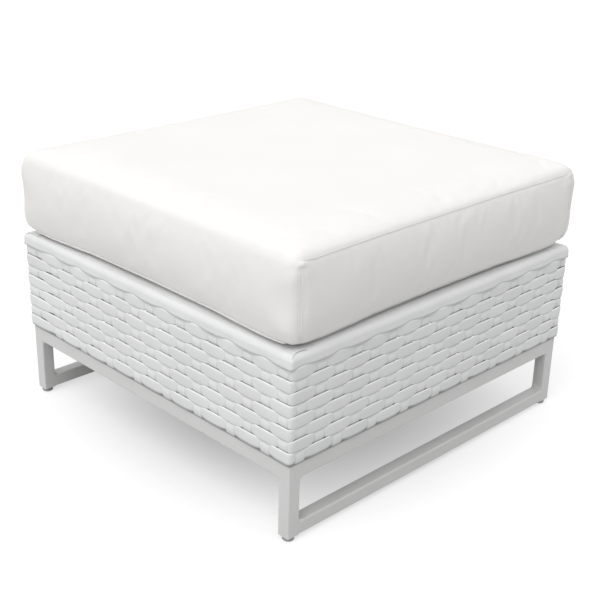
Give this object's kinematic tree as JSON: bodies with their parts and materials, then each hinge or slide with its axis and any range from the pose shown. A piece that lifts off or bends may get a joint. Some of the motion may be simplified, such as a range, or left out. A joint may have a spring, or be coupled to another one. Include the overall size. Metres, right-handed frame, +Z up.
{
  "type": "outdoor ottoman footstool",
  "caption": "Square outdoor ottoman: woven resin skirt on a welded sled frame with levelling glides, webbing deck and a loose zipped box cushion.",
  "frame": {"origin": "on the floor, under the middle of the square frame, in the plane of the glides' faces", "axes": "+Z up; +X to the right side, where a floor rail runs along Y between the legs; -Y to the front"},
  "size_m": [0.67, 0.67, 0.457],
  "materials": {
    "powder_coat": "satin",
    "glide_plastic": "satin",
    "zinc_steel": "satin",
    "resin_strip": "satin",
    "webbing": "matte",
    "foam": "matte",
    "cover_fabric": "matte",
    "zip_plastic": "satin"
  },
  "bodies": {
    "base": {"leg_front_left": "powder_coat", "leg_front_right": "powder_coat", "leg_back_left": "powder_coat", "leg_back_right": "powder_coat", "skirt_rail_front": "powder_coat", "skirt_rail_back": "powder_coat", "skirt_rail_left": "powder_coat", "skirt_rail_right": "powder_coat", "deck_rail_front": "powder_coat", "deck_rail_back": "powder_coat", "deck_rail_left": "powder_coat", "deck_rail_right": "powder_coat", "floor_rail_left": "powder_coat", "floor_rail_right": "powder_coat", "glide_plug_front_left": "glide_plastic", "glide_plug_front_right": "glide_plastic", "glide_plug_back_left": "glide_plastic", "glide_plug_back_right": "glide_plastic", "stake_panel_front": "resin_strip", "stake_panel_back": "resin_strip", "stake_panel_left": "resin_strip", "stake_panel_right": "resin_strip", "weaver_row_2": "resin_strip", "weaver_row_3": "resin_strip", "weaver_row_4": "resin_strip", "weaver_row_5": "resin_strip", "weaver_row_6": "resin_strip", "weaver_row_7": "resin_strip", "weaver_row_8": "resin_strip", "weaver_row_9": "resin_strip", "rim_front": "resin_strip", "rim_back": "resin_strip", "rim_left": "resin_strip", "rim_right": "resin_strip", "strap_across_1": "webbing", "strap_across_2": "webbing", "strap_across_3": "webbing", "strap_across_4": "webbing", "strap_along_1": "webbing", "strap_along_2": "webbing", "strap_along_3": "webbing", "strap_along_4": "webbing"},
    "glide_front_left": {"glide_pad_front_left": "glide_plastic", "glide_stem_front_left": "zinc_steel"},
    "glide_front_right": {"glide_pad_front_right": "glide_plastic", "glide_stem_front_right": "zinc_steel"},
    "glide_back_left": {"glide_pad_back_left": "glide_plastic", "glide_stem_back_left": "zinc_steel"},
    "glide_back_right": {"glide_pad_back_right": "glide_plastic", "glide_stem_back_right": "zinc_steel"},
    "cushion": {"cushion_core": "foam", "cover_top_panel": "cover_fabric", "cover_boxing": "cover_fabric", "cover_bottom_panel": "cover_fabric", "zip_tape": "zip_plastic"},
    "zip_slider": {"zip_slider": "zip_plastic"},
    "zip_pull": {"zip_pull": "zip_plastic"}
  },
  "joints": [
    {"name": "glide_extend_front_left", "type": "slide", "parent": "base", "child": "glide_front_left", "axis": [0, 0, -1], "range_m": [0, 0.01]},
    {"name": "glide_extend_front_right", "type": "slide", "parent": "base", "child": "glide_front_right", "axis": [0, 0, -1], "range_m": [0, 0.01]},
    {"name": "glide_extend_back_left", "type": "slide", "parent": "base", "child": "glide_back_left", "axis": [0, 0, -1], "range_m": [0, 0.01]},
    {"name": "glide_extend_back_right", "type": "slide", "parent": "base", "child": "glide_back_right", "axis": [0, 0, -1], "range_m": [0, 0.01]},
    {"name": "cushion_lift", "type": "slide", "parent": "base", "child": "cushion", "axis": [0, 0, 1], "range_m": [0, 0.3]},
    {"name": "zip_run", "type": "slide", "parent": "cushion", "child": "zip_slider", "axis": [-1, 0, 0], "range_m": [0, 0.376]},
    {"name": "zip_pull_swing", "type": "hinge", "parent": "zip_slider", "child": "zip_pull", "pos_m": [0.188, 0.33325, 0.36349], "axis": [1, 0, 0], "range_deg": [0, 130]}
  ]
}
